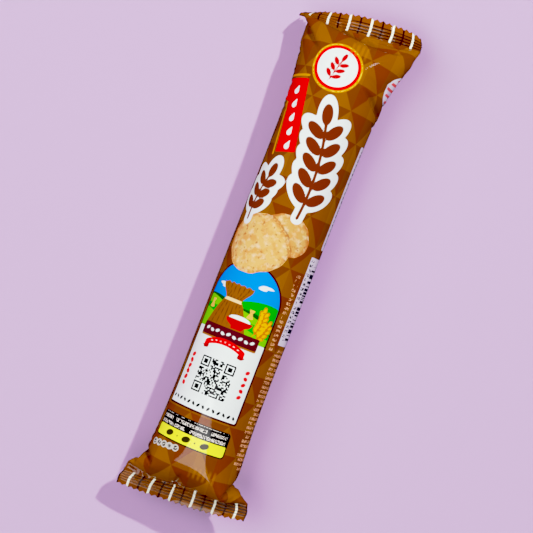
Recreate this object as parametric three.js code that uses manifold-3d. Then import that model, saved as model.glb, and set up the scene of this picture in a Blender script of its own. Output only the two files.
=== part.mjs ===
// A slender flow-wrap pack of small rice crackers: one tube of glossy film, closed by a crimped seal at
// each end and by a fin along its back, puffed up by its contents and lying on that back.
// Millimetres. The pack's length runs along Y with its top towards +Y, and its front faces up, +Z.
import * as THREE from "three";
import { mergeVertices } from "three/addons/utils/BufferGeometryUtils.js";
import Module from "manifold-3d";

// Film and outline
const packLength = 252; // cut edge to cut edge, along the middle of the pack
const sealWidth = 64; // the tube pressed flat, so half of the film's girth
const sealHeight = 9.4; // of each crimped band, cut edge included
const sealThickness = 0.9; // two layers of film with the crimp's relief
const bodyWidth = 42.6; // across the middle of the pack
const shoulderWidth = 46.8; // across the fuller ends of the body
const shoulderLength = 24; // over which the body closes down to a seal
const pressedFlat = 1; // how far the underside is pressed in by the surface that the pack lies on
const sealRise = 19; // middle of a seal's inner edge above that surface

// Crimp and cut edge
const ribPitch = 1.6;
const ribRelief = 0.24;
const toothCount = 21;
const toothDepth = 1.1;

// Fin pressed flat on the underside: its free edge shows as a shallow groove
const finWidth = 11;
const finGrooveWidth = 0.7;
const finGrooveDepth = 0.5;
const finEnd = 90; // from the middle of the pack to where the underside lifts off the surface

// How each end hangs: slant is the seal's rise along Y for each millimetre across; shift is how far its
// middle stands across from the body's; droop is the seal's downward turn at its left and right edges,
// in radians; ribbed is how much of its height is crimped, from its inner edge.
const topEnd = { side: 1, slant: 0.05, shift: -0.6, droopLeft: 1.25, droopRight: 0.1, ribbed: 6 };
const bottomEnd = { side: -1, slant: 0.09, shift: 1.4, droopLeft: 0.55, droopRight: 0.3, ribbed: 7.2 };

// Creases in the shoulders: a valley from one point to another, in millimetres across and, from the
// seal's inner edge, along. The face is 1 on the front and -1 on the back.
const creases = [
  { end: topEnd, face: 1, from: [-4, 1], to: [-5, 9], depth: 3.4, reach: 3.2 },
  { end: topEnd, face: 1, from: [28, 1], to: [13, 13], depth: 3.2, reach: 2.6 },
  { end: topEnd, face: 1, from: [-29, 1], to: [-16, 11], depth: 2.4, reach: 2.8 },
  { end: bottomEnd, face: 1, from: [29, 1], to: [15, 9], depth: 3.4, reach: 2.6 },
  { end: bottomEnd, face: 1, from: [-29, 1], to: [-15, 11], depth: 2.6, reach: 2.8 },
  { end: bottomEnd, face: 1, from: [-8, 1], to: [9, 1], depth: 2.2, reach: 2.6 },
  { end: topEnd, face: -1, from: [25, 1], to: [12, 14], depth: 2.6, reach: 3 },
  { end: topEnd, face: -1, from: [-25, 1], to: [-12, 14], depth: 2.6, reach: 3 },
  { end: bottomEnd, face: -1, from: [25, 1], to: [12, 14], depth: 2.6, reach: 3 },
  { end: bottomEnd, face: -1, from: [-25, 1], to: [-12, 14], depth: 2.6, reach: 3 },
];

// Fineness of the mesh
const ringPoints = 52;
const bodySteps = 16;
const shoulderSteps = 11;

const filmGirth = 2 * sealWidth;
const sealStart = packLength / 2 - sealHeight; // inner edge of a seal
const shoulderStart = sealStart - shoulderLength;

const clamp01 = (value) => Math.min(1, Math.max(0, value));
const smooth = (from, to, value) => {
  const t = clamp01((value - from) / (to - from));
  return t * t * (3 - 2 * t);
};
const mix = (a, b, t) => a + (b - a) * t;

function ellipseGirth(halfWidth, halfHeight) {
  const root = Math.sqrt((3 * halfWidth + halfHeight) * (halfWidth + 3 * halfHeight));
  return Math.PI * (3 * (halfWidth + halfHeight) - root);
}

// The film doesn't stretch, so a section of this half width is as high as its girth leaves.
function halfHeightFor(halfWidth) {
  let low = 0;
  let high = halfWidth;
  for (let i = 0; i < 40; i++) {
    const middle = (low + high) / 2;
    if (ellipseGirth(halfWidth, middle) < filmGirth) low = middle;
    else high = middle;
  }
  return low;
}

function distanceToSegment(x, y, from, to) {
  const dx = to[0] - from[0];
  const dy = to[1] - from[1];
  const t = clamp01(((x - from[0]) * dx + (y - from[1]) * dy) / (dx * dx + dy * dy));
  return Math.hypot(x - from[0] - t * dx, y - from[1] - t * dy);
}

// Depth of the creases at a point of one face, measured towards the pack's middle plane.
function creaseDepth(x, y, face) {
  let depth = 0;
  for (const crease of creases) {
    if (crease.face !== face || Math.sign(y) !== crease.end.side) continue;
    const inward = sealStart - Math.abs(y);
    const away = distanceToSegment(x, inward, crease.from, crease.to);
    depth += crease.depth * Math.exp(-((away / crease.reach) ** 2));
  }
  return depth;
}

const endAt = (y) => (y > 0 ? topEnd : bottomEnd);
const closingAt = (y) => clamp01((Math.abs(y) - shoulderStart) / shoulderLength);
const halfWidthAt = (y) => mix(bodyWidth, shoulderWidth, smooth(25, 90, Math.abs(y))) / 2;

// One point of the straight pack: turn runs once round the section, from its right edge over the front.
function filmPoint(turn, y) {
  const reach = Math.abs(y);
  const closing = closingAt(y);
  const halfWidth = halfWidthAt(y);
  const angle = 2 * Math.PI * turn;
  const face = turn <= 0.5 ? 1 : -1;
  const across = turn <= 0.5 ? 1 - 4 * turn : 4 * turn - 3; // 1 at the right edge, -1 at the left
  const flare = closing ** 4;
  const x = mix(halfWidth * Math.cos(angle), (sealWidth / 2) * across, flare);
  const dome = Math.sqrt(1 - closing ** 2);
  let z = dome * halfHeightFor(halfWidth) * Math.sin(angle);
  const edge = clamp01(8 * Math.abs(Math.sin(angle))); // 0 at the two side edges
  if (closing < 1) z -= face * Math.min(creaseDepth(x, y, face) * edge, Math.abs(z) * 0.7);
  const slab = (sealThickness / 2) * edge;
  if (face * z < slab) z = face * slab;
  if (reach > sealStart) {
    const along = reach - sealStart;
    const fading = smooth(endAt(y).ribbed, endAt(y).ribbed - ribPitch, along);
    z += ribRelief * fading * Math.sin((2 * Math.PI * along) / ribPitch) * edge;
  }
  return [x, y, z];
}

function stations() {
  const half = [];
  for (let i = 0; i < bodySteps / 2; i++) half.push((i / (bodySteps / 2)) * shoulderStart);
  for (let i = 0; i < shoulderSteps; i++) {
    const t = i / shoulderSteps;
    half.push(shoulderStart + shoulderLength * Math.sin((t * Math.PI) / 2));
  }
  const ribSteps = Math.ceil(Math.max(topEnd.ribbed, bottomEnd.ribbed) / (ribPitch / 4));
  for (let i = 0; i <= ribSteps; i++) {
    if (i % 4 !== 2) half.push(sealStart + (i * ribPitch) / 4);
  }
  half.push(packLength / 2);
  return [...half.slice(1).reverse().map((y) => -y), ...half];
}

// The closed skin of the straight pack, with a fan of triangles over each cut edge.
function straightPack() {
  const rows = stations();
  const points = [];
  for (const y of rows) {
    for (let i = 0; i < ringPoints; i++) points.push(...filmPoint(i / ringPoints, y));
  }
  const faces = [];
  const at = (row, i) => row * ringPoints + (i % ringPoints);
  for (let row = 0; row + 1 < rows.length; row++) {
    for (let i = 0; i < ringPoints; i++) {
      faces.push(at(row, i), at(row + 1, i + 1), at(row, i + 1));
      faces.push(at(row, i), at(row + 1, i), at(row + 1, i + 1));
    }
  }
  for (let i = 0; i + 1 < ringPoints / 2; i++) {
    const mirrored = ringPoints - i;
    const last = rows.length - 1;
    const rightFront = at(0, i);
    const nextFront = at(0, i + 1);
    const rightBack = at(0, mirrored);
    const nextBack = at(0, mirrored - 1);
    const shift = last * ringPoints;
    if (i > 0) faces.push(rightFront, nextFront, rightBack);
    faces.push(nextFront, nextBack, rightBack);
    if (i > 0) faces.push(rightFront + shift, rightBack + shift, nextFront + shift);
    faces.push(nextFront + shift, rightBack + shift, nextBack + shift);
  }
  const edge = ringPoints / 2;
  const shift = (rows.length - 1) * ringPoints;
  faces.push(at(0, edge - 1), at(0, edge), at(0, edge + 1));
  faces.push(at(0, edge - 1) + shift, at(0, edge + 1) + shift, at(0, edge) + shift);
  const geometry = new THREE.BufferGeometry();
  geometry.setAttribute("position", new THREE.Float32BufferAttribute(points, 3));
  geometry.setIndex(faces);
  return geometry;
}

// A comb whose teeth cut the zigzag of one end.
function zigzagComb(side) {
  const pitch = sealWidth / toothCount;
  const root = side * (packLength / 2 - toothDepth);
  const tip = side * (packLength / 2 + 0.01);
  const outside = side * (packLength / 2 + 5);
  const outline = new THREE.Shape();
  const start = -sealWidth / 2 - pitch;
  outline.moveTo(start, outside);
  for (let i = 0; i < toothCount + 2; i++) {
    outline.lineTo(start + i * pitch, root);
    outline.lineTo(start + (i + 0.5) * pitch, tip);
  }
  outline.lineTo(start + (toothCount + 2) * pitch, root);
  outline.lineTo(start + (toothCount + 2) * pitch, outside);
  const comb = new THREE.ExtrudeGeometry(outline, { depth: 6, bevelEnabled: false });
  return comb.translate(0, 0, -3);
}

// Bends the straight pack into the one that lies on the surface: its middle is lifted onto its flattened
// underside, and each seal is slanted and lets its edges droop.
function layDown(x, y, z) {
  const end = endAt(y);
  const reach = Math.abs(y);
  const settled = smooth(0, 1, closingAt(y));
  const bodyRise = halfHeightFor(halfWidthAt(y)) - pressedFlat;
  let along = reach;
  let height = z + mix(bodyRise, sealRise, settled);
  if (reach > sealStart) {
    const left = clamp01(-x / (sealWidth / 2));
    const right = clamp01(x / (sealWidth / 2));
    const droop = end.droopLeft * left ** 1.2 + end.droopRight * right ** 1.2;
    along = sealStart + (reach - sealStart) * Math.cos(droop) + z * Math.sin(droop);
    height = sealRise - (reach - sealStart) * Math.sin(droop) + z * Math.cos(droop);
  }
  return [x + end.shift * settled, end.side * along + end.slant * x * settled, Math.max(0, height)];
}

const wasm = await Module();
wasm.setup();

function toSolid(geometry) {
  const bare = new THREE.BufferGeometry();
  bare.setAttribute("position", geometry.getAttribute("position"));
  if (geometry.index) bare.setIndex(geometry.index);
  const merged = mergeVertices(bare, 1e-4);
  return new wasm.Manifold(
    new wasm.Mesh({
      numProp: 3,
      vertProperties: new Float32Array(merged.attributes.position.array),
      triVerts: new Uint32Array(merged.index.array),
    }),
  );
}

function toGeometry(solid) {
  const mesh = solid.getMesh();
  const geometry = new THREE.BufferGeometry();
  geometry.setAttribute("position", new THREE.BufferAttribute(mesh.vertProperties, 3));
  geometry.setIndex(new THREE.BufferAttribute(mesh.triVerts, 1));
  return geometry;
}

function laidPack() {
  let solid = toSolid(straightPack());
  for (const end of [topEnd, bottomEnd]) solid = solid.subtract(toSolid(zigzagComb(end.side)));
  const geometry = toGeometry(solid);
  const position = geometry.getAttribute("position");
  for (let i = 0; i < position.count; i++) {
    position.setXYZ(i, ...layDown(position.getX(i), position.getY(i), position.getZ(i)));
  }
  return geometry;
}

// The groove beside the fin's free edge, cut into the flattened underside.
function finGroove() {
  const groove = new THREE.BoxGeometry(finGrooveWidth, 2 * finEnd, 2 * finGrooveDepth);
  return groove.translate(finWidth / 2 + finGrooveWidth / 2, 0, 0);
}

const packGeometry = toGeometry(toSolid(laidPack()).subtract(toSolid(finGroove())));
packGeometry.computeBoundingBox();
const box = packGeometry.boundingBox;
const middle = box.getCenter(new THREE.Vector3());
packGeometry.translate(-middle.x, -middle.y, -box.min.z);
packGeometry.computeVertexNormals();

const film = new THREE.MeshStandardMaterial({ color: 0xa05a08, roughness: 0.25, metalness: 0 });
const pack = new THREE.Mesh(packGeometry, film);
pack.name = "pack";

const group = new THREE.Group();
group.add(pack);
export default group;
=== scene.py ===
import math

import bpy
import numpy as np
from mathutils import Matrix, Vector


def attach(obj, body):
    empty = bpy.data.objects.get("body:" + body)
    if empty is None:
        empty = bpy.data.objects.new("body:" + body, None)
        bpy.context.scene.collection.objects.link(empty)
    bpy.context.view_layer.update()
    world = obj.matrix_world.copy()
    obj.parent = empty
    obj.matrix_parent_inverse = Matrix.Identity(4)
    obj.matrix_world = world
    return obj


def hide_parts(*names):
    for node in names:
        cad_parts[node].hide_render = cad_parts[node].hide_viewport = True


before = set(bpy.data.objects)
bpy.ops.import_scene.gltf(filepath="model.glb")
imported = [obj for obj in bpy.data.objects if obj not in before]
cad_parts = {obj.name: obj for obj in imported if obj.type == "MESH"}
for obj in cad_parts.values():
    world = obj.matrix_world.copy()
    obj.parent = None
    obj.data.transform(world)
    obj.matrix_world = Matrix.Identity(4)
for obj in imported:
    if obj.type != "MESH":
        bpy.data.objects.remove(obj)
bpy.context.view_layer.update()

# ---- Film tube ---------------------------------------------------------------------------------
# One web of glossy printed plastic film, wrapped round the crackers into a tube and joined along its
# back. Air and crackers puff it up, and its own girth and length then make the shoulders, ears and
# creases at the two flat seals.
MM = 0.001  # lengths are in millimetres until a mesh is made
# A place on the film is "around" it, from the top line of the lying pack towards its right, and "along"
# it, from the middle of the pack towards its top.
FILM_GIRTH = 130.0
FILM_LENGTH = 251.0  # along the film, between the inner edges of the seals
HALF_WEB = FILM_GIRTH / 2
SEAL_HALF = FILM_GIRTH / 4
SHOULDER = 22.0  # length of pack over which the body closes down to a seal
FILM_THICK = 0.24  # two films and their relief, between the seal's faces
SEAL_HEIGHT = 9.5
FIN_LIFT = 0.45  # room that the fin takes between the body and the table
FIN_WIDTH = 11.0

# Each end: the inner edge of its seal lies at edge_y + slant * across, with its middle at middle_x, and
# curl draws its left corner out. From there the band droops, crimped as far out as ribbed. Ripple is the
# height of its small waves, and dip a pinch: its place across, its depth and its width. Heights of the
# inner edge and droops in degrees are given from its left to its right.
STATIONS = np.linspace(-1, 1, 9)
STATION_CURVE = 6  # degree of the smooth curve through the stations
ENDS = {
    1: dict(edge_y=118.2, slant=0.10, curl=2.4, middle_x=-0.7, ribbed=6.2, ripple=0.2,
            dip=(-8.5, 1.4, 3.0),
            rise=(12.6, 16.5, 20.0, 22.0, 22.8, 23.0, 22.6, 21.6, 20.4),
            droop=(68, 58, 40, 24, 15, 10, 12, 22, 44)),
    -1: dict(edge_y=115.6, slant=-0.094, curl=0.0, middle_x=2.0, ribbed=7.4, ripple=0.38,
             dip=(-9.0, 1.2, 5.0),
             rise=(20.0, 20.7, 21.2, 21.4, 21.8, 22.2, 22.7, 23.3, 24.0),
             droop=(34, 29, 24, 18, 13, 11, 13, 19, 27)),
}


def smooth(start, stop, value):
    t = np.clip((value - start) / (stop - start), 0, 1)
    return t * t * (3 - 2 * t)


def flat_across(around):
    """Place across the flat seal of a point of the film: the back mirrors the front."""
    return np.where(np.abs(around) <= SEAL_HALF, around, np.sign(around) * HALF_WEB - around)


SEAL_SAMPLES = 265
SHORT_RIPPLE, LONG_RIPPLE = 1.02, 0.63  # radians for each millimetre across
RIPPLE_REACH = 24.0  # from the seal's middle to where its ripples begin to fade
RIPPLE_DEEP = 6.0  # how far out from the inner edge a ripple runs
CURL_START, CURL_FULL = 6.0, 30.0  # left of the seal's middle


def seal_band(end, outs, around):
    """Middle surface of a seal band and its upward normals: a row for each distance out from its inner
    edge. The film keeps its width, so where a row bends or ripples it draws in."""
    sizes = ENDS[end]
    across = np.linspace(-SEAL_HALF, SEAL_HALF, SEAL_SAMPLES)
    droop, rise = (np.polyval(np.polyfit(STATIONS, sizes[part], STATION_CURVE), across / SEAL_HALF)
                   for part in ("droop", "rise"))
    droop, out = np.radians(droop), np.asarray(outs, float)[:, None]
    ripple = np.sin(across * SHORT_RIPPLE + end) + 0.5 * np.sin(across * LONG_RIPPLE + 2 * end)
    ripple = sizes["ripple"] * ripple * (1 - smooth(RIPPLE_REACH, SEAL_HALF, np.abs(across)))
    place, depth, spread = sizes["dip"]
    ripple = ripple - depth * np.exp(-((across - place) / spread) ** 2)
    z = rise + ripple * (1 - smooth(0, RIPPLE_DEEP, out)) - out * np.sin(droop)
    curl = sizes["curl"] * smooth(CURL_START, CURL_FULL, -across)
    y = end * (sizes["edge_y"] + sizes["slant"] * across + curl + out * np.cos(droop))
    slope_z, slope_y = np.gradient(z, across, axis=1), np.gradient(y, across, axis=1)
    step = np.sqrt(np.clip(1 - slope_z ** 2 - slope_y ** 2, 0.1, 1)) * (across[1] - across[0])
    x = np.cumsum(step, axis=1)
    x += sizes["middle_x"] - (x[:, :1] + x[:, -1:]) / 2
    surface = np.stack([x, y, z], -1)
    over = np.gradient(surface, axis=1)
    away = np.stack([0 * z, end * np.cos(droop) + 0 * z, -np.sin(droop) + 0 * z], -1)
    normal = end * np.cross(over, away)
    normal /= np.linalg.norm(normal, axis=-1, keepdims=True)
    place = (flat_across(around) + SEAL_HALF) / (across[1] - across[0])
    low = np.clip(place.astype(int), 0, len(across) - 2)
    part = (place - low)[:, None]
    return tuple((1 - part) * grid[:, low] + part * grid[:, low + 1] for grid in (surface, normal))


BODY_HALF_WIDTH, BODY_HALF_HEIGHT = 21.6, 20.0  # at the pack's middle
END_WIDER, END_LOWER = 2.0, 2.2  # how much the body spreads and flattens towards its ends
SPREAD_START, SPREAD_FULL = 25.0, 90.0
BODY_SINKS = 0.5  # what the table takes off its underside


def start_shape(around, along):
    """A smooth puffed tube closed down to its seals, from which the film settles."""
    edges = {end: seal_band(end, [0.0], around)[0] for end in ENDS}
    around, along = np.meshgrid(around, along)
    angle = np.pi * around / HALF_WEB
    edge = np.where(along[..., None] > 0, edges[1], edges[-1])
    share = np.abs(along) / (FILM_LENGTH / 2)
    straight = ENDS[1]["edge_y"] * share
    closing = np.clip((straight - (ENDS[1]["edge_y"] - SHOULDER)) / SHOULDER, 0, 1)
    spread = smooth(SPREAD_START, SPREAD_FULL, straight)
    half_width = BODY_HALF_WIDTH + END_WIDER * spread
    half_height = BODY_HALF_HEIGHT - END_LOWER * spread
    dome = np.sqrt(1 - closing ** 2)
    flare = closing ** 3
    settled = smooth(0, 1, closing)
    x = (1 - flare) * half_width * np.sin(angle) + flare * edge[..., 0]
    y = np.sign(along) * straight * (1 - settled) + settled * edge[..., 1] * share
    z = dome * half_height * np.cos(angle) + (1 - settled) * (half_height - BODY_SINKS)
    z += settled * edge[..., 2]
    return np.stack([x, y, np.maximum(z, 0)], -1)


DIAGONAL_SHARE = 0.6  # film shears more easily than it stretches


def film_links(rows, columns, step_around, step_along):
    """Pairs of film points that keep their distance, in sets that share no point: threads along and
    round the film, both diagonals, and every second point, which resists sharp bending."""
    every = np.arange(columns)
    whole = slice(0, rows)
    links = []
    for first in (0, 1):
        cols = np.arange(first, columns, 2)
        links.append((whole, cols, whole, (cols + 1) % columns, step_around, 1.0, False))
    for first in (0, 1):
        last = first + 2 * ((rows - first) // 2)
        near, far = slice(first, last, 2), slice(first + 1, last + 1, 2)
        links.append((near, every, far, every, step_along, 1.0, False))
        for side in (1, -1):
            diagonal = math.hypot(step_around, step_along)
            turned = (every + side) % columns
            links.append((near, every, far, turned, diagonal, DIAGONAL_SHARE, False))
    for first in (0, 2):
        cols = np.array([c for c in range(columns) if c % 4 in (first, first + 1)])
        links.append((whole, cols, whole, (cols + 2) % columns, 2 * step_around, 1.0, True))
        for start in (first, first + 1):
            near = np.arange(start, rows - 2, 4)
            near = slice(start, near[-1] + 1, 4)
            far = slice(near.start + 2, near.stop + 2, 4)
            links.append((near, every, far, every, 2 * step_along, 1.0, True))
    return links


def pull(points, free, links, stiffness):
    """One pass over the links. A bending link only pushes, with the film's stiffness."""
    for near, near_cols, far, far_cols, rest, share, bends in links:
        a, b = points[near, near_cols], points[far, far_cols]
        free_a, free_b = free[near, near_cols], free[far, far_cols]
        apart = b - a
        length = np.sqrt(np.einsum("ijk,ijk->ij", apart, apart)) + 1e-9
        error = np.minimum(length - rest, 0) * stiffness if bends else (length - rest) * share
        apart *= (error / (length * (free_a + free_b + 1e-9)))[..., None]
        points[near, near_cols] = a + apart * free_a[..., None]
        points[far, far_cols] = b - apart * free_b[..., None]


def facing(points):
    """Outward normals of the film grid, about as long as four of its cells."""
    around = np.roll(points, -1, 1) - np.roll(points, 1, 1)
    along = np.empty_like(points)
    along[1:-1] = points[2:] - points[:-2]
    along[0], along[-1] = points[1] - points[0], points[-1] - points[-2]
    return np.cross(around, along)


FIN_FOLD = -3.0  # where the film starts to rise over the folded fin
FIN_EASE = 2.0  # width over which it rises and comes down


def table_under(points):
    """Height that the film can't pass: the table, or the fin that lies on it."""
    across = points[..., 0]
    on_fin = smooth(FIN_FOLD, FIN_FOLD + FIN_EASE, across)
    on_fin = on_fin * (1 - smooth(FIN_WIDTH, FIN_WIDTH + FIN_EASE, across))
    return FIN_LIFT * on_fin


LOAD = 0.08  # share that the crackers' weight adds to the pressure at the table
SLUMP = 0.2  # share of the pressure that the foot gains and the top loses
MIDDLE_HEIGHT, HALF_BODY = 19.0, 115.0
DRIFT_KEPT = 0.9  # share of each step's movement that carries on into the next
PULLS = 4  # passes over the links in each step


def settle(points, steps, push, stiffness, tucks=()):
    """Lets the film find its rest under the pressure of the air, more at the bottom, where the crackers
    weigh on it, and more at the foot, where they have slid to. Tucks are round dents, each a centre and
    a radius."""
    rows, columns = points.shape[:2]
    step_around, step_along = FILM_GIRTH / columns, FILM_LENGTH / (rows - 1)
    free = np.ones((rows, columns))
    free[0] = free[-1] = 0
    links = film_links(rows, columns, step_around, step_along)
    before = points.copy()
    for _ in range(steps):
        drift = DRIFT_KEPT * (points - before)
        before = points.copy()
        normal = facing(points) / (4 * step_around * step_along)
        y, z = points[..., 1:2], points[..., 2:]
        pressure = push * (1 + LOAD * (1 - z / MIDDLE_HEIGHT) - SLUMP * y / HALF_BODY)
        points += (drift + pressure * normal) * free[..., None]
        for turn in range(PULLS):
            pull(points, free, links if turn % 2 else links[::-1], stiffness)
        for centre, radius in tucks:
            away = points - centre
            reach = np.linalg.norm(away, axis=-1, keepdims=True)
            inside = (reach < radius) & (free[..., None] > 0)
            points = np.where(inside, centre + away * radius / reach, points)
        points[..., 2] = np.maximum(points[..., 2], table_under(points) * free)
    return points


def doubled(points):
    """The same film on a grid twice as fine, through a cubic."""
    closed = (-np.roll(points, 1, 1) + 9 * points + 9 * np.roll(points, -1, 1) - np.roll(points, -2, 1)) / 16
    wide = np.empty((points.shape[0], 2 * points.shape[1], 3))
    wide[:, 0::2], wide[:, 1::2] = points, closed
    padded = np.concatenate([2 * wide[:1] - wide[1:2], wide, 2 * wide[-1:] - wide[-2:-1]])
    fine = np.empty((2 * wide.shape[0] - 1, wide.shape[1], 3))
    fine[0::2] = wide
    fine[1::2] = (-padded[:-3] + 9 * padded[1:-2] + 9 * padded[2:-1] - padded[3:]) / 16
    return fine


def columns_around(count):
    around = np.arange(count) / count * FILM_GIRTH
    return np.where(around >= HALF_WEB, around - FILM_GIRTH, around)


# Handling pinched in the film beside both seals, and pressed the left shoulder at the top a little flat.
PRESSED = (((-55.2, 104.0, 12.0), 30.0), )
TUCKS = (((22.0, 108.0, 25.0), 6.0), ((33.0, -108.0, 17.0), 8.5))
COARSE_COLUMNS, COARSE_ROWS = 84, 165
UNEVEN = 0.12  # how far handling moved a point of the film
rough_rows = np.linspace(-FILM_LENGTH / 2, FILM_LENGTH / 2, COARSE_ROWS)
film = start_shape(columns_around(COARSE_COLUMNS), rough_rows)
handling = np.random.default_rng(11)
film[1:-1] += handling.normal(0, UNEVEN, film[1:-1].shape)
film = settle(film, steps=220, push=0.010, stiffness=0.15, tucks=TUCKS + PRESSED)
film = settle(film, steps=260, push=0.004, stiffness=0.10, tucks=TUCKS[:1] + PRESSED)
film = doubled(film)
film = settle(film, steps=90, push=0.002, stiffness=0.06, tucks=PRESSED)

# ---- End seals ---------------------------------------------------------------------------------
# At each end the front and back films are pressed flat between heated jaws, whose ribs leave a crimp
# along the band, and cut off by a zigzag knife.
RIB_PITCH = 1.6
RIB_RELIEF = 0.28
RIB_STEPS = 6  # rows of the mesh for each rib
TOOTH_COUNT = 21
TOOTH_DEPTH = 1.1
TOOTH_PITCH = 2 * SEAL_HALF / TOOTH_COUNT
TOOTH_ROOT = 2.4  # depth of the band that the zigzag draws with it
RIBS_START, RIBS_FADE = 0.6, 1.2  # where the crimp has its full depth, and the width of its outer end
BAND_LEVELS = 60
BAND_WAVE, BAND_WAVE_REACH = 0.25, 5.1  # height of the band's slow waves, and the width of a radian

columns = film.shape[1]
around = columns_around(columns)
step_around = FILM_GIRTH / columns
band_out = np.arange(1, round(SEAL_HEIGHT / (RIB_PITCH / RIB_STEPS)) + 1)
band_out = band_out * SEAL_HEIGHT / len(band_out)


def seal_rows(end, outs):
    """The band's two faces as rows of the tube, with the crimp's ribs and the zigzag edge."""
    face = np.where(np.abs(around) <= SEAL_HALF, 1.0, -1.0)
    across = flat_across(around)
    inside = np.clip((SEAL_HALF - np.abs(across)) / step_around, 0, 1)
    tooth = np.abs((across / TOOTH_PITCH) % 1 - 0.5) * 2
    outs = np.asarray(outs)[:, None]
    cut = outs - TOOTH_DEPTH * tooth * smooth(SEAL_HEIGHT - TOOTH_ROOT, SEAL_HEIGHT, outs)
    levels = np.linspace(0, SEAL_HEIGHT, BAND_LEVELS)
    surface, normal = seal_band(end, levels, around)
    low = np.clip((cut / levels[1]).astype(int), 0, len(levels) - 2)
    part = (cut / levels[1] - low)[..., None]
    column = np.arange(len(around))
    surface, normal = ((1 - part) * grid[low, column] + part * grid[low + 1, column]
                       for grid in (surface, normal))
    ribbed = ENDS[end]["ribbed"]
    crimped = smooth(0, RIBS_START, outs) * (1 - smooth(ribbed - RIBS_FADE, ribbed, outs))
    rib = RIB_RELIEF * crimped * np.sin(2 * np.pi * outs / RIB_PITCH)
    wave = BAND_WAVE * np.sin(across / BAND_WAVE_REACH + end) * smooth(0, SEAL_HEIGHT, outs)
    lift = face * inside * FILM_THICK / 2 + rib + wave
    return surface + normal * lift[..., None]


top_band = seal_rows(1, band_out)
bottom_band = seal_rows(-1, band_out)[::-1]
film[-1:], film[:1] = seal_rows(1, [0.0]), seal_rows(-1, [0.0])
tube = np.concatenate([bottom_band, film, top_band])
film_rows = np.linspace(-FILM_LENGTH / 2, FILM_LENGTH / 2, film.shape[0])
along = np.concatenate([-FILM_LENGTH / 2 - band_out[::-1], film_rows, FILM_LENGTH / 2 + band_out])

# The middle of the pack's outline goes to the frame's origin. Its height over the table stays.
outline_middle = (tube.min((0, 1)) + tube.max((0, 1))) / 2
outline_middle[2] = 0
tube = tube - outline_middle


def grid_faces(rows, columns):
    """Quads of a tube of rows and columns, facing out, and the strips that close its two flat ends."""
    faces = []
    for r in range(rows - 1):
        for c in range(columns):
            d = (c + 1) % columns
            faces.append((r * columns + c, r * columns + d, (r + 1) * columns + d, (r + 1) * columns + c))
    quarter = columns // 4
    last = (rows - 1) * columns
    for c in range(-quarter, quarter):
        front, front_next = c % columns, (c + 1) % columns
        back, back_next = (2 * quarter - c) % columns, (2 * quarter - c - 1) % columns
        strip = [front, back, back_next, front_next]
        strip = [p for i, p in enumerate(strip) if p not in strip[:i]]
        faces.append(tuple(strip))
        faces.append(tuple(last + p for p in reversed(strip)))
    return faces


MAP_SPAN_AROUND = FILM_GIRTH + 4
MAP_SPAN_ALONG = FILM_LENGTH + 2 * SEAL_HEIGHT + 4


def piece(name, points, faces, across_web, along_web):
    """A mesh object with smooth faces, and a map of its places on the film: OFBake."""
    mesh = bpy.data.meshes.new(name)
    mesh.from_pydata((points.reshape(-1, 3) * MM).tolist(), [], faces)
    mesh.update()
    mesh.polygons.foreach_set("use_smooth", [True] * len(mesh.polygons))
    corners = np.empty(len(mesh.loops), dtype=np.int64)
    mesh.loops.foreach_get("vertex_index", corners)
    u, v = across_web[corners], along_web[corners]
    starts = np.array([p.loop_start for p in mesh.polygons])
    first = np.repeat(u[starts], [p.loop_total for p in mesh.polygons])
    u = np.where(u - first > HALF_WEB, u - FILM_GIRTH, u)
    u = np.where(first - u > HALF_WEB, u + FILM_GIRTH, u)
    places = np.stack([0.5 + u / MAP_SPAN_AROUND, 0.5 + v / MAP_SPAN_ALONG], -1)
    layer = mesh.uv_layers.new(name="OFBake")
    layer.data.foreach_set("uv", places.astype(np.float32).ravel())
    thing = bpy.data.objects.new(name, mesh)
    bpy.context.scene.collection.objects.link(thing)
    return thing


web_around, web_along = (grid.ravel() for grid in np.meshgrid(around, along))
pack = piece("film_pack", tube, grid_faces(*tube.shape[:2]), web_around, web_along)

# ---- Print -------------------------------------------------------------------------------------
# Gravure inks on the inside of the film: a two-brown ground of triangles, and over it, ink by ink,
# the front's pictures and panels and the back's white fields. Each ink is a field of distances to its
# edge in millimetres, kept on the mesh, and the material lays it down where the field is below zero.
REGISTER = (0.1, -0.5)  # how far the print lies off the web's middle
A, L = web_around - REGISTER[0], web_along - REGISTER[1]  # around and along, from the print's own middle
FIELD_REACH = 3.0  # distances are kept this far from an edge
inks = []


def region(name, field):
    """Keeps on the mesh where an ink, or a fine pattern or painted sheen that the material makes, lies."""
    layer = pack.data.attributes.new(name, "FLOAT", "POINT")
    layer.data.foreach_set("value", np.clip(field, -FIELD_REACH, FIELD_REACH).astype(np.float32))


def ink(colour, field):
    """Lays one ink over the ones before it. The colour is 0 to 255, as a proof would be measured."""
    name = f"ink_{len(inks):02d}"
    region(name, field)
    inks.append((name, colour))


def disc(a, l, radius):
    return np.hypot(A - a, L - l) - radius


def oval(a, l, half_width, half_height, turn=0.0):
    c, s = math.cos(math.radians(turn)), math.sin(math.radians(turn))
    x, y = c * (A - a) + s * (L - l), -s * (A - a) + c * (L - l)
    return (np.hypot(x / half_width, y / half_height) - 1) * min(half_width, half_height)


def box(left, right, low, high, corner=0.0):
    x = np.abs(A - (left + right) / 2) - (right - left) / 2 + corner
    y = np.abs(L - (low + high) / 2) - (high - low) / 2 + corner
    return np.hypot(np.maximum(x, 0), np.maximum(y, 0)) + np.minimum(np.maximum(x, y), 0) - corner


def stroke(points, radius):
    field = np.full(A.shape, 1e3)
    for (xa, ya), (xb, yb) in zip(points[:-1], points[1:]):
        dx, dy = xb - xa, yb - ya
        t = np.clip(((A - xa) * dx + (L - ya) * dy) / (dx * dx + dy * dy), 0, 1)
        field = np.minimum(field, np.hypot(A - xa - t * dx, L - ya - t * dy) - radius)
    return field


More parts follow.
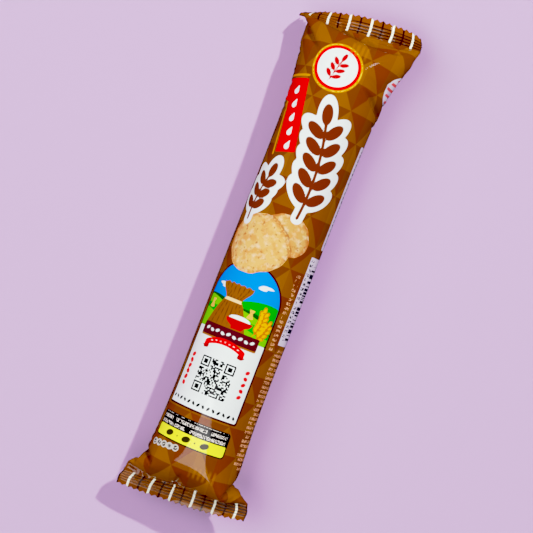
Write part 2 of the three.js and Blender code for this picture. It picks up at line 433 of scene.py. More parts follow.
def polygon(points):
    field = np.full(A.shape, 1e3)
    inside = np.zeros(A.shape, bool)
    for (xa, ya), (xb, yb) in zip(points, points[1:] + points[:1]):
        dx, dy = xb - xa, yb - ya
        t = np.clip(((A - xa) * dx + (L - ya) * dy) / (dx * dx + dy * dy), 0, 1)
        field = np.minimum(field, np.hypot(A - xa - t * dx, L - ya - t * dy))
        crosses = (ya > L) != (yb > L)
        crosses &= A < xa + dx * (L - ya) / (dy if dy else 1e-9)
        inside ^= crosses
    return np.where(inside, -field, field)


def join(*fields):
    return np.minimum.reduce(fields)


def within(field, limit):
    return np.maximum(field, limit)


WHITE, RED, GOLD, PALE_GOLD = (240, 247, 244), (255, 9, 10), (214, 140, 24), (255, 210, 76)
BROWN, MAROON, BLACK = (116, 47, 14), (62, 14, 18), (12, 9, 14)

# Roundel: a white disc in a red and a gold ring, with a red ear of rice.
ROUNDEL = (-2.5, 97.7)
ink(GOLD, disc(*ROUNDEL, 12.3))
ink(PALE_GOLD, np.abs(disc(*ROUNDEL, 11.75)) - 0.2)
ink(RED, disc(*ROUNDEL, 11.2))
ink(WHITE, disc(*ROUNDEL, 9.7))


def ear_of_rice(foot, tip, bend, pairs, grain_length, grain_width, spread, start=0.24):
    """A bent stem with plump grains in pairs and one at its tip. Each grain leans out by spread degrees,
    and the lowest pair grows at the share start of the stem."""
    foot, tip = np.array(foot, float), np.array(tip, float)
    sideways = np.array([-(tip - foot)[1], (tip - foot)[0]])
    stem = [foot + t * (tip - foot) + 4 * t * (1 - t) * bend * sideways for t in np.linspace(0, 1, 15)]
    fields = [stroke([tuple(p) for p in stem], 0.13 * grain_width)]
    for k in range(pairs):
        t = start + (1 - start) * k / pairs
        place = foot + t * (tip - foot) + 4 * t * (1 - t) * bend * sideways
        heading = (tip - foot) + 4 * (1 - 2 * t) * bend * sideways
        angle = math.degrees(math.atan2(heading[1], heading[0]))
        for side in (1, -1):
            lean = math.radians(angle + side * spread)
            centre = place + 0.6 * grain_length * np.array([math.cos(lean), math.sin(lean)])
            fields.append(oval(*centre, grain_length / 2, grain_width / 2, angle + side * spread))
    end = tip + 0.4 * grain_length * np.array([math.cos(math.radians(angle)), math.sin(math.radians(angle))])
    fields.append(oval(*end, grain_length / 2, grain_width / 2, angle))
    return join(*fields)


DEEP_RED = (210, 17, 21)
ink(DEEP_RED, ear_of_rice((-4.6, 89.6), (-1.4, 101.6), 0.0, 3, 4.6, 2.0, 52, 0.2))

# Flavour banner: a red strip with a gold edge and white drops down it.
gold_top = stroke([(-37.6, 87.5), (-14.2, 90.1)], 0.55)
gold_side = stroke([(-23.4, 76.3), (-19.4, 49.3)], 0.6)
ink(GOLD, join(gold_top, gold_side))
banner = [(-37.6, 78.5), (-37.6, 86.1), (-13.5, 88.5), (-6.9, 52.9), (-18.0, 50.5), (-22.2, 75.5)]
ink(RED, polygon(banner))
drops = []
for k in range(5):
    a, l = -18.4 + 1.5 * k, 81.9 - 6.7 * k
    point = polygon([(a - 1.3, l), (a + 1.3, l), (a + 0.9, l + 2.8)])
    drops.append(join(disc(a, l - 0.6, 1.5), point))
ink(WHITE, join(*drops))

# Two toasted crackers, the front one with a thin shadow on the one behind it. Each has its middle, its
# half width and height, a phase of its uneven rim, and its tint.
BEHIND, IN_FRONT = (3.2, 14.6, 12.4, 10.2, 0.7, (224, 158, 90)), (-8.8, 6.4, 16.1, 14.5, 0.0, (238, 175, 106))
CRACKER_SHADOW = (176, 108, 52)
crackers = []
for a, l, half_width, half_height, phase, tint in (BEHIND, IN_FRONT):
    bearing = np.arctan2(L - l, A - a)
    wobble = 1 + 0.022 * np.cos(3 * bearing + phase) + 0.028 * np.cos(4 * bearing + 2 * phase + 0.5)
    wobble += 0.010 * np.cos(9 * bearing + phase) + 0.008 * np.sin(13 * bearing)
    field = (np.hypot((A - a) / half_width, (L - l) / half_height) - wobble) * half_height
    if crackers:
        ink(CRACKER_SHADOW, within(field - 0.8, crackers[0]))
    crackers.append(field)
    ink(tint, field)

# Title place: a tall and a short brown ear of rice with a broad white edge.
TITLE_EDGE = 2.3
title = join(ear_of_rice((5.2, 24.2), (2.2, 71.0), -0.05, 5, 10.2, 5.2, 47, 0.15),
             ear_of_rice((-19.4, 16.2), (-15.6, 38.9), 0.06, 3, 7.6, 4.2, 47, 0.22))
ink(WHITE, title - TITLE_EDGE)
ink(BROWN, title)

# Picture window: an arch with sky, terraced fields, straw stacks, a bowl of rice and ripe ears, over a
# white panel.
SKY, HILL, TREES, YOUNG_RICE, RICE = (3, 135, 255), (19, 163, 12), (4, 82, 23), (116, 198, 7), (4, 168, 3)
STRAW, STRAW_LINE, STRAW_FAR, STRAW_TIE = (144, 86, 14), (108, 58, 8), (240, 176, 84), (255, 214, 150)
RIPE, RIPE_LINE, BOWL_RED = (255, 176, 14), (214, 112, 4), (206, 24, 16)
ARCH = (-5.3, -22.0, 18.8)
PANEL_FOOT, PANEL_TOP = -77.5, -38.5
arch = within(disc(*ARCH), ARCH[1] - L)
window = join(arch, box(ARCH[0] - ARCH[2], ARCH[0] + ARCH[2], PANEL_FOOT, ARCH[1]))
picture = within(window, PANEL_TOP - L)
behind = -crackers[1]
ink(MAROON, within(window - 0.9, behind))
ink(SKY, within(picture, behind))
clouds = ((-18.0, -16.4, 2.6), (-16.2, -17.5, 2.2), (4.6, -11.6, 3.4), (2.6, -12.8, 2.4))
clouds = join(*[oval(a, l, half_width, 0.75) for a, l, half_width in clouds])
ink(WHITE, within(within(clouds, picture), behind))
hill = L + 21.2 - 2.4 * np.cos((A - 8.0) / 7.6)
ink(HILL, within(within(hill, picture), behind))
for depth, colour in ((24.2, TREES), (25.6, YOUNG_RICE), (29.0, RICE), (32.4, YOUNG_RICE)):
    ink(colour, within(L + depth + 0.14 * (A + 5.0) - 0.4 * np.cos(A / 3.1 + depth), picture))
small_stack = [(-1.9, -2.2), (1.9, -2.2), (0.6, 0.6), (1.5, 2.4), (-1.5, 2.4), (-0.6, 0.6)]
for a, l in ((-20.2, -27.0), (1.6, -26.2)):
    ink(STRAW_FAR, within(polygon([(a + x, l + y) for x, y in small_stack]), picture))
STOOK, TIE = -9.0, -22.6  # the middle of the big stack, and the height of its tie
reach = np.abs(L - TIE)
spread = np.where(L < TIE, 4.4 + 7.4 * (reach / 16) ** 0.75, 4.4 + 3.8 * smooth(0, 7, reach))
stook = within(np.abs(A - STOOK) - spread, L + 15.2 - 0.9 * np.abs(np.cos((A - STOOK) * 1.1)))
ink(STRAW, within(stook, picture))
straws = np.abs(((A - STOOK) / spread * 3.5) % 1 - 0.5) * spread / 3.5 - 0.3
ink(STRAW_LINE, within(within(straws, stook + 0.7), picture))
ink(STRAW_TIE, within(within(np.abs(L - TIE) - 0.8, stook), picture))
ears = join(ear_of_rice((4.6, -37.0), (7.4, -23.4), -0.10, 5, 3.6, 2.0, 34),
            ear_of_rice((5.8, -37.5), (11.4, -28.4), -0.12, 4, 3.4, 1.9, 34))
ink(RIPE_LINE, within(ears, picture))
ink(RIPE, within(ears + 0.32, picture))
BOWL = (-2.6, -30.6)
ink(WHITE, within(oval(BOWL[0], BOWL[1] + 0.2, 5.4, 1.9), picture))
bowl = [(-7.0, 0), (7.0, 0), (5.8, -2.0), (3.0, -3.6), (3.0, -4.8), (-3.0, -4.8), (-3.0, -3.6), (-5.8, -2.0)]
ink(BOWL_RED, within(polygon([(BOWL[0] + a, BOWL[1] + l) for a, l in bowl]), picture))
ink(WHITE, within(window, L - PANEL_TOP))

# Plank and ribbon under the picture, with a row of grains and a row of beads.
PLANK, PLANK_EDGE, RIBBON, RIBBON_TAIL = (89, 21, 33), (163, 101, 28), (255, 14, 16), (168, 7, 10)
ink(PLANK_EDGE, box(-20.2, 10.0, -42.7, -36.7, 0.3))
ink(PLANK, box(-20.2, 10.0, -41.9, -35.9, 0.3))
grains = [oval(-17.0 + 3.0 * k, -38.9 + 0.25 * (-1) ** k, 1.15, 0.75, 28 * (-1) ** k) for k in range(9)]
ink(WHITE, join(*grains))
BOW_MIDDLE, BOW_CREST, BOW_FALL, BOW_HALF = -5.1, -41.2, 3.0, 10.6
HALF_RIBBON = 1.5


def crest_at(a):
    """Upper edge of the ribbon, which falls towards its ends."""
    return BOW_CREST - BOW_FALL * ((a - BOW_MIDDLE) / BOW_HALF) ** 2


tail = [(11.4, -46.9), (7.8, -45.2), (7.6, -47.8), (11.6, -48.4), (10.3, -47.6)]
tails = [polygon([(BOW_MIDDLE + side * a, l) for a, l in tail]) for side in (-1, 1)]
ink(RIBBON_TAIL, join(*tails))
ribbon = np.abs(L - crest_at(A) + HALF_RIBBON) - HALF_RIBBON
ink(RIBBON, within(ribbon, np.abs(A - BOW_MIDDLE) - BOW_HALF))
beads = [BOW_MIDDLE + 2.3 * k for k in range(-3, 4)]
beads = [disc(a, crest_at(a) - HALF_RIBBON, 0.5) for a in beads]
ink(WHITE, join(*beads))

# Row of grains at the panel's foot, red marks beside the code, the black and yellow label under the
# panel with its row of beans, and a row of ringed beads under that.
YELLOW, BEAN, MARK = (255, 255, 59), (52, 45, 17), (243, 28, 29)
BEAD, BEAD_RING = (198, 194, 186), (52, 42, 43)
grains = [oval(-22.2 + 2.6 * k, -74.5 - 0.05 * k, 1.15, 0.62, 58 * (-1) ** k) for k in range(14)]
ink(BLACK, join(*grains))
marks = [oval(-19.8, -53.2 - 2.85 * k, 1.4, 1.1, 35 * (-1) ** k) for k in range(6)]
marks += [oval(10.2, -52.6 - 3.05 * k, 1.25, 0.95, 35 * (-1) ** k) for k in range(5)]
ink(MARK, join(*marks))
label = box(-25.0, 13.8, -95.2, -82.4, 1.8)
ink(BLACK, label)
ink(YELLOW, within(label + 0.6, L + 89.2))
beans = [oval(-15.6 + 9.4 * k, -91.9, 2.2, 1.45, 20) for k in range(3)]
beans += [disc(-11.0 + 9.4 * k, -91.9, 0.5) for k in range(2)]
ink(BEAN, join(*beans))
beads = [disc(-22.8 + 3.3 * k, -98.9 + 0.35 * k, 1.75) for k in range(5)]
ink(BEAD, join(*beads))
ink(BEAD_RING, join(*[np.abs(bead + 0.95) - 0.32 for bead in beads]))

# Right side and back: white fields for the bar block, the table of small print and a round mark, which
# is banded red.
OFF_WHITE, BAND_RED = (226, 218, 234), (234, 82, 85)
ROUND_MARK, MARK_BAND = (32.4, 100.1), 3.2
bar_block, table_block = box(21.2, 56.0, -35.1, 10.0), box(27.2, 58.0, 14.6, 68.0, 1.0)
ink(OFF_WHITE, join(bar_block, table_block, disc(*ROUND_MARK, 8.4)))
bands = np.abs(((L - ROUND_MARK[1]) / MARK_BAND + 0.5) % 1 - 0.5) * MARK_BAND - 0.7
ink(BAND_RED, within(disc(*ROUND_MARK, 7.2), bands))

# Places of the fine patterns: the code, the bars, small print in three colours, and the pleats' painted
# sheen.
CODE_LEFT, CODE_FOOT, CODE_SIDE, CODE_MODULES = -13.4, -69.15, 17.6, 25
region("code_field", box(CODE_LEFT, CODE_LEFT + CODE_SIDE, CODE_FOOT, CODE_FOOT + CODE_SIDE))
region("bar_field", box(25.6, 50.0, -32.4, 6.0))
region("dark_text_field", join(box(21.9, 24.9, -32.4, 8.8), box(30.0, 55.0, 17.0, 66.0)))
region("pale_text_field", join(box(16.2, 19.0, -38.6, -0.4), box(21.4, 58.0, -99.0, -37.0)))
region("label_text_field", box(-24.0, 12.4, -88.7, -82.9))
region("cracker_field", np.where(crackers[1] < 0, crackers[1], crackers[0]))
region("title_field", title - TITLE_EDGE)
region("pleat_sheen_field", join(box(-1.0, 9.0, 105.5, 113.5), box(0.0, 14.0, -109.0, -102.0)))

# ---- Film material -----------------------------------------------------------------------------
# Glossy clear film over the inks. Fine and repeating patterns are worked out here from places on the
# film: the ground's triangles, the seals' stripes and the painted shade in their grooves, the crackers'
# mottle, the code block, the bars, the small print and the pleats' painted sheen.
INK_EDGE, FINE_EDGE = 0.09, 0.05  # how far an ink's edge blurs, and a fine pattern's
film_material = bpy.data.materials.new("printed_film")
film_material.use_nodes = True
tree = film_material.node_tree
tree.nodes.clear()


def node(kind, **settings):
    made = tree.nodes.new(kind)
    for key, value in settings.items():
        setattr(made, key, value)
    return made


def feed(socket, value):
    if isinstance(value, bpy.types.NodeSocket):
        tree.links.new(value, socket)
    else:
        socket.default_value = value


def maths(operation, *values):
    made = node("ShaderNodeMath", operation=operation)
    for socket, value in zip(made.inputs, values):
        feed(socket, value)
    return made.outputs[0]


def ramp(value, start, stop, low=0.0, high=1.0):
    made = node("ShaderNodeMapRange")
    for socket, given in zip(made.inputs, (value, start, stop, low, high)):
        feed(socket, given)
    return made.outputs[0]


def linear(colour):
    """0 to 255 proof values as the shader's linear light."""
    parts = [c / 255 for c in colour]
    parts = [c / 12.92 if c <= 0.04045 else ((c + 0.055) / 1.055) ** 2.4 for c in parts]
    return (*parts, 1.0)


def mixed(amount, under, over):
    made = node("ShaderNodeMix", data_type="RGBA")
    feed(made.inputs["Factor"], amount)
    feed(made.inputs["A"], under if isinstance(under, bpy.types.NodeSocket) else linear(under))
    feed(made.inputs["B"], over if isinstance(over, bpy.types.NodeSocket) else linear(over))
    return made.outputs["Result"]


def field_of(name):
    return node("ShaderNodeAttribute", attribute_name=name).outputs["Fac"]


def inked(field, soft=INK_EDGE):
    """1 where an ink is, 0 where it isn't."""
    return ramp(field, soft, -soft)


def place(x, y, z=0.0):
    made = node("ShaderNodeCombineXYZ")
    for socket, value in zip(made.inputs, (x, y, z)):
        feed(socket, value)
    return made.outputs[0]


def speckle(vector):
    """A random number from 0 to 1 for each whole place."""
    made = node("ShaderNodeTexWhiteNoise", noise_dimensions="3D")
    feed(made.inputs["Vector"], vector)
    return made.outputs["Value"]


def mottle(vector, scale, detail=3.0):
    made = node("ShaderNodeTexNoise")
    feed(made.inputs["Vector"], vector)
    made.inputs["Scale"].default_value = scale
    made.inputs["Detail"].default_value = detail
    return made.outputs["Fac"]


places = node("ShaderNodeSeparateXYZ")
feed(places.inputs[0], node("ShaderNodeUVMap", uv_map="OFBake").outputs[0])
film_a = maths("MULTIPLY_ADD", places.outputs[0], MAP_SPAN_AROUND, -MAP_SPAN_AROUND / 2 - REGISTER[0])
film_l = maths("MULTIPLY_ADD", places.outputs[1], MAP_SPAN_ALONG, -MAP_SPAN_ALONG / 2 - REGISTER[1])
film_place = place(film_a, film_l)

# Ground: rows of triangles, dark ones hanging between light ones, each other column a shade deeper.
GROUND_ROW, GROUND_SIDE = 13.35, 20.0
GROUND_START = (1.3, 0.9)  # a corner of the pattern, around and along
SHADE_START = 11.3
LIGHT_BROWNS, DARK_BROWNS = ((136, 80, 2), (143, 88, 5)), ((121, 56, 2), (119, 63, 3))
ROWS_BELOW = 100.0  # keeps the counts above zero, where the remainder works
row_height = maths("DIVIDE", maths("SUBTRACT", film_l, GROUND_START[1]), GROUND_ROW)
row = maths("FLOOR", row_height)
up_row = maths("SUBTRACT", row_height, row)
odd = maths("MODULO", maths("ADD", row, ROWS_BELOW), 2.0)
column = maths("DIVIDE", maths("SUBTRACT", film_a, GROUND_START[0]), GROUND_SIDE)
column = maths("MULTIPLY_ADD", odd, 0.5, column)
from_apex = maths("MULTIPLY", maths("PINGPONG", column, 0.5), 2.0)
hanging = ramp(maths("ADD", from_apex, up_row), 0.985, 1.015)
shade = maths("FLOOR", maths("DIVIDE", maths("SUBTRACT", film_a, SHADE_START), GROUND_SIDE / 2))
shade = maths("MODULO", maths("ADD", shade, ROWS_BELOW), 2.0)
light_brown = mixed(shade, *LIGHT_BROWNS)
dark_brown = mixed(shade, *DARK_BROWNS)
ground = mixed(hanging, light_brown, dark_brown)

# Seals: plain brown with a white and a dark stripe by turns, with painted shade in the crimp's grooves
# and over the inner right part of each band.
SEAL_BROWN, SEAL_DARK, SEAL_WHITE = (137, 76, 9), (52, 14, 3), (255, 255, 234)
GROOVE_SHADE, SEAL_SHADE = (47, 10, 1), (72, 28, 6)
past_edge = maths("SUBTRACT", maths("ABSOLUTE", maths("ADD", film_l, REGISTER[1])), FILM_LENGTH / 2)
in_seal = ramp(past_edge, -0.2, 0.2)
stripe = maths("PINGPONG", maths("DIVIDE", film_a, FILM_GIRTH / 12), 0.5)
dark_stripe = ramp(stripe, 0.05, 0.035)
white_stripe = ramp(stripe, 0.44, 0.455)
seal_colour = mixed(dark_stripe, SEAL_BROWN, SEAL_DARK)
# Painted shade along the crimp's grooves, uneven in patches and a little stronger towards the right.
rib_turn = maths("MULTIPLY", past_edge, 2 * math.pi / RIB_PITCH)
groove_shade = ramp(maths("SINE", rib_turn), 0.0, -0.75)
ribbed = ramp(past_edge, 0.0, 0.5)
ribbed = maths("MULTIPLY", ribbed, ramp(past_edge, 7.4, 6.6))
shade_patches = mottle(place(maths("MULTIPLY", film_a, 0.07), maths("MULTIPLY", film_l, 0.35)), scale=1.0)
shade_patches = ramp(maths("MULTIPLY_ADD", film_a, 0.006, shade_patches), 0.38, 0.50, 0.35, 1.0)
groove_shade = maths("MULTIPLY", maths("MULTIPLY", groove_shade, ribbed), shade_patches)
# Painted shade over the inner right part of each seal band.
inner_right_shade = maths("MULTIPLY", ramp(film_a, -2.0, 20.0), ramp(past_edge, 6.6, 4.0))
seal_colour = mixed(maths("MULTIPLY", inner_right_shade, 0.5), seal_colour, SEAL_SHADE)
seal_colour = mixed(maths("MULTIPLY", groove_shade, 0.92), seal_colour, GROOVE_SHADE)
seal_colour = mixed(white_stripe, seal_colour, SEAL_WHITE)
colour = mixed(in_seal, ground, seal_colour)

for name, tint in inks:
    colour = mixed(inked(field_of(name)), colour, tint)

# Crackers: a browned rim, golden patches, pale dry flecks and toasted freckles. The title covers them.
RIM_BROWN, EDGE_BROWN, GOLDEN = (202, 112, 46), (196, 108, 52), (232, 146, 78)
FLECK, FRECKLE = (250, 222, 182), (190, 100, 38)
toasting = field_of("cracker_field")
past_title = ramp(field_of("title_field"), -INK_EDGE, INK_EDGE)
on_cracker = maths("MULTIPLY", inked(toasting, FINE_EDGE), past_title)
uneven_rim = maths("MULTIPLY_ADD", mottle(film_place, 0.35), 4.0, -2.0)
rim = ramp(maths("ADD", toasting, uneven_rim), -1.9, 0.1)
colour = mixed(maths("MULTIPLY", rim, on_cracker), colour, RIM_BROWN)
edge_line = maths("MULTIPLY", ramp(toasting, -1.1, -0.2), on_cracker)
colour = mixed(maths("MULTIPLY", edge_line, 0.6), colour, EDGE_BROWN)
golden = maths("MULTIPLY", ramp(mottle(film_place, 0.2), 0.47, 0.6), on_cracker)
colour = mixed(maths("MULTIPLY", golden, 0.75), colour, GOLDEN)
flecks = maths("MULTIPLY", ramp(mottle(film_place, 0.32), 0.5, 0.68), on_cracker)
colour = mixed(maths("MULTIPLY", flecks, 0.6), colour, FLECK)
freckles = maths("MULTIPLY", ramp(mottle(film_place, 0.5, 2.0), 0.60, 0.70), on_cracker)
colour = mixed(maths("MULTIPLY", freckles, 0.8), colour, FRECKLE)

# Code block: random squares that stand for no code, with a square ring in three corners.
CODE_GAPS = 0.46  # share of the squares left white
CODE_BLACK = (17, 17, 19)
RING_MIDDLE, RING_HALF, RING_EYE, CORNER_HALF = 3.5, 3.0, 1.5, 4.5  # in squares
module = CODE_SIDE / CODE_MODULES
code_a = maths("DIVIDE", maths("SUBTRACT", film_a, CODE_LEFT), module)
code_l = maths("DIVIDE", maths("SUBTRACT", film_l, CODE_FOOT), module)
code = speckle(place(maths("FLOOR", code_a), maths("FLOOR", code_l), 3.0))
code = maths("GREATER_THAN", code, CODE_GAPS)
from_ring = [maths("ABSOLUTE", maths("SUBTRACT", maths("PINGPONG", side, CODE_MODULES / 2), RING_MIDDLE))
             for side in (code_a, code_l)]
from_ring = maths("MAXIMUM", *from_ring)
ring = maths("COMPARE", from_ring, RING_HALF, 0.5)
ring = maths("MAXIMUM", ring, maths("LESS_THAN", from_ring, RING_EYE))
lower_right = maths("MULTIPLY", maths("GREATER_THAN", code_a, CODE_MODULES / 2),
                    maths("LESS_THAN", code_l, CODE_MODULES / 2))
in_corner = maths("MULTIPLY", maths("LESS_THAN", from_ring, CORNER_HALF), maths("SUBTRACT", 1.0, lower_right))
code = maths("MULTIPLY", code, maths("SUBTRACT", 1.0, in_corner))
code = maths("ADD", code, maths("MULTIPLY", ring, in_corner))
code = maths("MULTIPLY", code, inked(field_of("code_field"), 0.02))
colour = mixed(code, colour, CODE_BLACK)

# Bars: lines of uneven weight across the block.
BAR_WIDTH, BAR_GAPS, BAR_BLACK = 0.42, 0.52, (33, 24, 50)
bar = maths("FLOOR", maths("DIVIDE", film_l, BAR_WIDTH))
bar = maths("GREATER_THAN", speckle(place(bar, 7.0)), BAR_GAPS)
colour = mixed(maths("MULTIPLY", bar, inked(field_of("bar_field"), FINE_EDGE)), colour, BAR_BLACK)

# Small print: broken lines of specks too fine to read, which spell nothing.
SPECK, SPECK_GAPS = 0.42, 0.42
WORD, WORD_GAPS = 2.1, 0.16
LINE_HALF = 0.3  # half height of a line, as a share of the pitch


def small_print(field, pitch, seed):
    line = maths("DIVIDE", film_l, pitch)
    line_number = maths("FLOOR", line)
    from_line = maths("ABSOLUTE", maths("SUBTRACT", maths("FRACT", line), 0.5))
    specks = speckle(place(maths("FLOOR", maths("DIVIDE", film_a, SPECK)),
                           maths("FLOOR", maths("DIVIDE", film_l, SPECK)), seed))
    words = speckle(place(maths("FLOOR", maths("DIVIDE", film_a, WORD)), line_number, seed + 1))
    words = maths("GREATER_THAN", words, WORD_GAPS)
    made = maths("MULTIPLY", maths("GREATER_THAN", specks, SPECK_GAPS), words)
    made = maths("MULTIPLY", made, maths("LESS_THAN", from_line, LINE_HALF))
    return maths("MULTIPLY", made, inked(field_of(field), FINE_EDGE))


DARK_TEXT, PALE_TEXT, LABEL_TEXT = (42, 38, 42), (234, 168, 120), (222, 214, 206)
colour = mixed(small_print("dark_text_field", 2.4, 11.0), colour, DARK_TEXT)
colour = mixed(small_print("pale_text_field", 2.3, 23.0), colour, PALE_TEXT)
colour = mixed(small_print("label_text_field", 2.7, 37.0), colour, LABEL_TEXT)

# Pleats that the packing machine's guides pressed into the film near both seals, shown only as lighter
# stripes of painted sheen.
PLEAT_PITCH, PLEAT_SHEEN = 2.4, (176, 112, 22)
pleat_sheen_stripes = maths("SINE", maths("MULTIPLY", film_a, 2 * math.pi / PLEAT_PITCH))
pleat_sheen_stripes = maths("MULTIPLY", ramp(field_of("pleat_sheen_field"), 0.3, -1.6), ramp(pleat_sheen_stripes, -0.6, 0.6))
colour = mixed(maths("MULTIPLY", pleat_sheen_stripes, 0.5), colour, PLEAT_SHEEN)

# Gloss of the clear film, with the faint crinkle that handling leaves.
shader = node("ShaderNodeBsdfPrincipled")
feed(shader.inputs["Base Color"], colour)
shader.inputs["Roughness"].default_value = 0.07
shader.inputs["IOR"].default_value = 1.5
shader.inputs["Specular IOR Level"].default_value = 0.2
crinkle = node("ShaderNodeBump")
crinkle.inputs["Strength"].default_value = 0.05
crinkle.inputs["Distance"].default_value = 0.0004
feed(crinkle.inputs["Height"], mottle(film_place, 0.22, detail=4.0))
feed(shader.inputs["Normal"], crinkle.outputs[0])
output = node("ShaderNodeOutputMaterial")
feed(output.inputs[0], shader.outputs[0])
pack.data.materials.append(film_material)
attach(pack, "root")
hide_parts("pack")

# ---- Fin seal ----------------------------------------------------------------------------------
# Down the back the web's two edges are welded face to face by knurled wheels into a narrow fin, which
# lies folded over to the pack's right, flat between the body and the table.
FIN_GAP = 0.12
FIN_BODY = 0.26
FIN_FINE = 4  # strands between two of the tube's own
FIN_OVERLAP = 8  # rows of each seal that the fin runs into
KNURL_PITCH = 1.1
KNURL_RELIEF = 0.05
WELD_PITCH = 1.6
FIN_BROWN, FIN_PALE, FIN_WELD = (128, 70, 8), (146, 88, 16), (84, 34, 6)

first_row = len(band_out)
fin_rows = slice(first_row - FIN_OVERLAP, first_row + film.shape[0] + FIN_OVERLAP)
fin_columns = [(columns // 2 - k) % columns for k in range(round(FIN_WIDTH / step_around) + 1)]
outward = facing(tube)
outward /= np.linalg.norm(outward, axis=-1, keepdims=True) + 1e-9
under = tube[fin_rows][:, fin_columns]
outward = outward[fin_rows][:, fin_columns]
strands = np.linspace(0, len(fin_columns) - 1, FIN_FINE * (len(fin_columns) - 1) + 1)
low = np.minimum(strands.astype(int), len(fin_columns) - 2)
part = (strands - low)[:, None]
under, outward = ((1 - part) * grid[:, low] + part * grid[:, low + 1] for grid in (under, outward))
from_fold = strands * step_around
knurl = KNURL_RELIEF * np.sin(2 * np.pi * from_fold / KNURL_PITCH) * smooth(0.6, 1.6, from_fold)
knurl = (knurl * (1 - smooth(FIN_WIDTH - 1.6, FIN_WIDTH - 0.4, from_fold)))[:, None]
inner = under + outward * FIN_GAP
outer = under + outward * (FIN_GAP + FIN_BODY - KNURL_RELIEF + knurl)
fin_shape = np.concatenate([inner, outer[:, ::-1]], axis=1)
fin_turn = fin_shape.shape[1]
fin_faces = []
for r in range(fin_shape.shape[0] - 1):
    for c in range(fin_turn):
        d = (c + 1) % fin_turn
        fin_faces.append((r * fin_turn + c, (r + 1) * fin_turn + c, (r + 1) * fin_turn + d, r * fin_turn + d))
last = (fin_shape.shape[0] - 1) * fin_turn
for c in range(fin_turn // 2 - 1):
    strip = (c, c + 1, fin_turn - 2 - c, fin_turn - 1 - c)
    fin_faces.append(strip)
    fin_faces.append(tuple(last + p for p in reversed(strip)))
fin_around = np.concatenate([from_fold, from_fold[::-1] + FIN_WIDTH + 1.0])
fin_around, fin_along = (grid.ravel() for grid in np.meshgrid(fin_around, along[fin_rows]))
fin = piece("back_fin", fin_shape, fin_faces, fin_around, fin_along)

fin_material = bpy.data.materials.new("fin_film")
fin_material.use_nodes = True
tree = fin_material.node_tree
tree.nodes.clear()
fin_places = node("ShaderNodeSeparateXYZ")
feed(fin_places.inputs[0], node("ShaderNodeUVMap", uv_map="OFBake").outputs[0])
fin_a = maths("MULTIPLY", fin_places.outputs[0], MAP_SPAN_AROUND)
fin_l = maths("MULTIPLY", fin_places.outputs[1], MAP_SPAN_ALONG)
welded = ramp(maths("SINE", maths("MULTIPLY", fin_l, 2 * math.pi / WELD_PITCH)), 0.2, 0.9)
fin_colour = mixed(ramp(mottle(place(fin_a, fin_l), 0.12), 0.35, 0.65), FIN_BROWN, FIN_PALE)
fin_colour = mixed(maths("MULTIPLY", welded, 0.35), fin_colour, FIN_WELD)
fin_shader = node("ShaderNodeBsdfPrincipled")
feed(fin_shader.inputs["Base Color"], fin_colour)
fin_shader.inputs["Roughness"].default_value = 0.12
fin_shader.inputs["IOR"].default_value = 1.5
fin_shader.inputs["Specular IOR Level"].default_value = 0.3
feed(node("ShaderNodeOutputMaterial").inputs[0], fin_shader.outputs[0])
fin.data.materials.append(fin_material)
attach(fin, "root")
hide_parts("pack")

# ---- Table, light and camera -------------------------------------------------------------------
# A sheet of pale lilac card, a small key light from the pack's top right, broad fills from its left and
# its foot, two lamps that show only in the gloss of the film, and a camera straight above, turned so
# that the pack lies slanting.
LILAC = (200, 164, 212)
bpy.ops.mesh.primitive_plane_add(size=6.0)
table = bpy.context.object
table.name = "card_table"
card = bpy.data.materials.new("lilac_card")
card.use_nodes = True
card_shader = card.node_tree.nodes["Principled BSDF"]
card_shader.inputs["Base Color"].default_value = linear(LILAC)
card_shader.inputs["Roughness"].default_value = 0.9
card_shader.inputs["Specular IOR Level"].default_value = 0.15
table.data.materials.append(card)
table.visible_glossy = False  # the room's lower half stands in for it in the gloss


def soft_light(name, toward, distance, width, height, watts):
    """A white lamp that faces the pack from the direction toward, at a distance in metres."""
    lamp = bpy.data.lights.new(name, "AREA")
    lamp.shape = "RECTANGLE"
    lamp.size, lamp.size_y = width, height
    lamp.energy = watts
    holder = bpy.data.objects.new(name, lamp)
    bpy.context.scene.collection.objects.link(holder)
    direction = Vector(toward).normalized()
    holder.location = direction * distance
    holder.rotation_euler = (-direction).to_track_quat("-Z", "Y").to_euler()
    return holder


TOP_RIGHT = (0.38, 0.84, 1.0)
key = soft_light("key_light", TOP_RIGHT, 2.0, 0.06, 0.06, 37.0)
glint = soft_light("glint_light", TOP_RIGHT, 2.0, 0.09, 0.09, 1.5)
left_fill = soft_light("fill_light", (-0.56, 0.0, 0.80), 1.8, 1.4, 1.4, 24.5)
foot_fill = soft_light("window_light", (-0.10, -0.46, 0.88), 1.8, 1.0, 0.9, 9.0)
sheen = soft_light("sheen_light", (-0.08, -0.42, 0.90), 1.8, 1.3, 1.1, 40.0)
for lamp in (key, left_fill, foot_fill):
    lamp.visible_glossy = False
for lamp in (glint, sheen):
    lamp.visible_diffuse = False

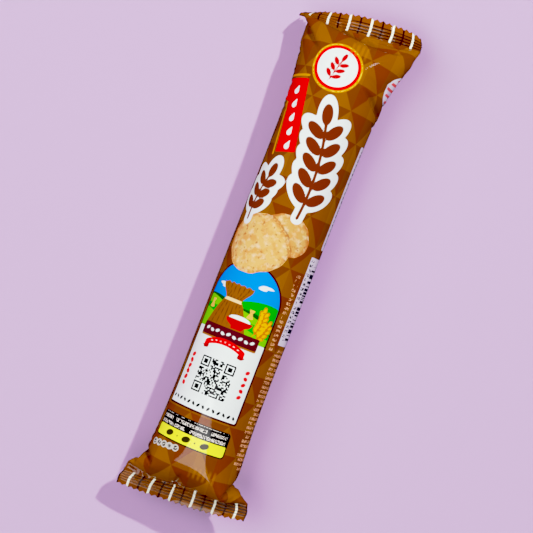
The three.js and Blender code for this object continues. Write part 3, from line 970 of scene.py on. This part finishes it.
# The room is grey: half as bright overhead as just below the horizon, and nearly dark straight down.
room = bpy.data.worlds.new("room")
bpy.context.scene.world = room
room.use_nodes = True
tree = room.node_tree
height = node("ShaderNodeSeparateXYZ")
feed(height.inputs[0], node("ShaderNodeTexCoord").outputs["Generated"])
below = ramp(height.outputs["Z"], -0.65, -0.35, 0.03, 0.2)
above = ramp(height.outputs["Z"], -0.05, 0.15, 0.0, -0.1)
feed(tree.nodes["Background"].inputs["Color"], (1.0, 1.0, 1.0, 1.0))
feed(tree.nodes["Background"].inputs["Strength"], maths("ADD", below, above))

PICTURE = 533  # pixels, each side
PIXELS_PER_MM = 2.0625  # at the pack's middle height
CAMERA_TURN = math.radians(21.65)
CAMERA_HEIGHT = 1.0
SUBJECT_HEIGHT = 0.016
PACK_ORIGIN_PIXEL = (269.97, 263.14)  # where the film's own origin shows

camera_data = bpy.data.cameras.new("camera")
camera = bpy.data.objects.new("camera", camera_data)
bpy.context.scene.collection.objects.link(camera)
bpy.context.scene.camera = camera
picture_width = PICTURE / PIXELS_PER_MM * MM
camera_data.lens = camera_data.sensor_width * (CAMERA_HEIGHT - SUBJECT_HEIGHT) / picture_width
right = Vector((math.cos(CAMERA_TURN), math.sin(CAMERA_TURN), 0))
up = Vector((-math.sin(CAMERA_TURN), math.cos(CAMERA_TURN), 0))
shown_right = (PACK_ORIGIN_PIXEL[0] - PICTURE / 2) / PIXELS_PER_MM * MM
shown_up = (PICTURE / 2 - PACK_ORIGIN_PIXEL[1]) / PIXELS_PER_MM * MM
origin = Vector(-outline_middle * MM)
camera.location = origin - right * shown_right - up * shown_up + Vector((0, 0, CAMERA_HEIGHT))
camera.rotation_euler = (0, 0, CAMERA_TURN)

# Picture tone: blacks a little deeper, and bright tones that roll off softly.
BLACK_LEVEL, WHITE_LEVEL, BRIGHTEST = 0.02, 1.5, 0.86
TONE_POINTS = ((0.27, 0.40), (0.379, 0.53), (0.60, 0.672))
picture_tone = bpy.context.scene.view_settings
picture_tone.view_transform = "Standard"
picture_tone.use_curve_mapping = True
tone = picture_tone.curve_mapping
tone.black_level = (BLACK_LEVEL, BLACK_LEVEL, BLACK_LEVEL)
tone.white_level = (WHITE_LEVEL, WHITE_LEVEL, WHITE_LEVEL)
roll_off = tone.curves[3].points
roll_off[1].location = (1.0, BRIGHTEST)
for shown_in, shown_out in TONE_POINTS:
    roll_off.new(shown_in, shown_out)
tone.update()

bpy.context.view_layer.update()
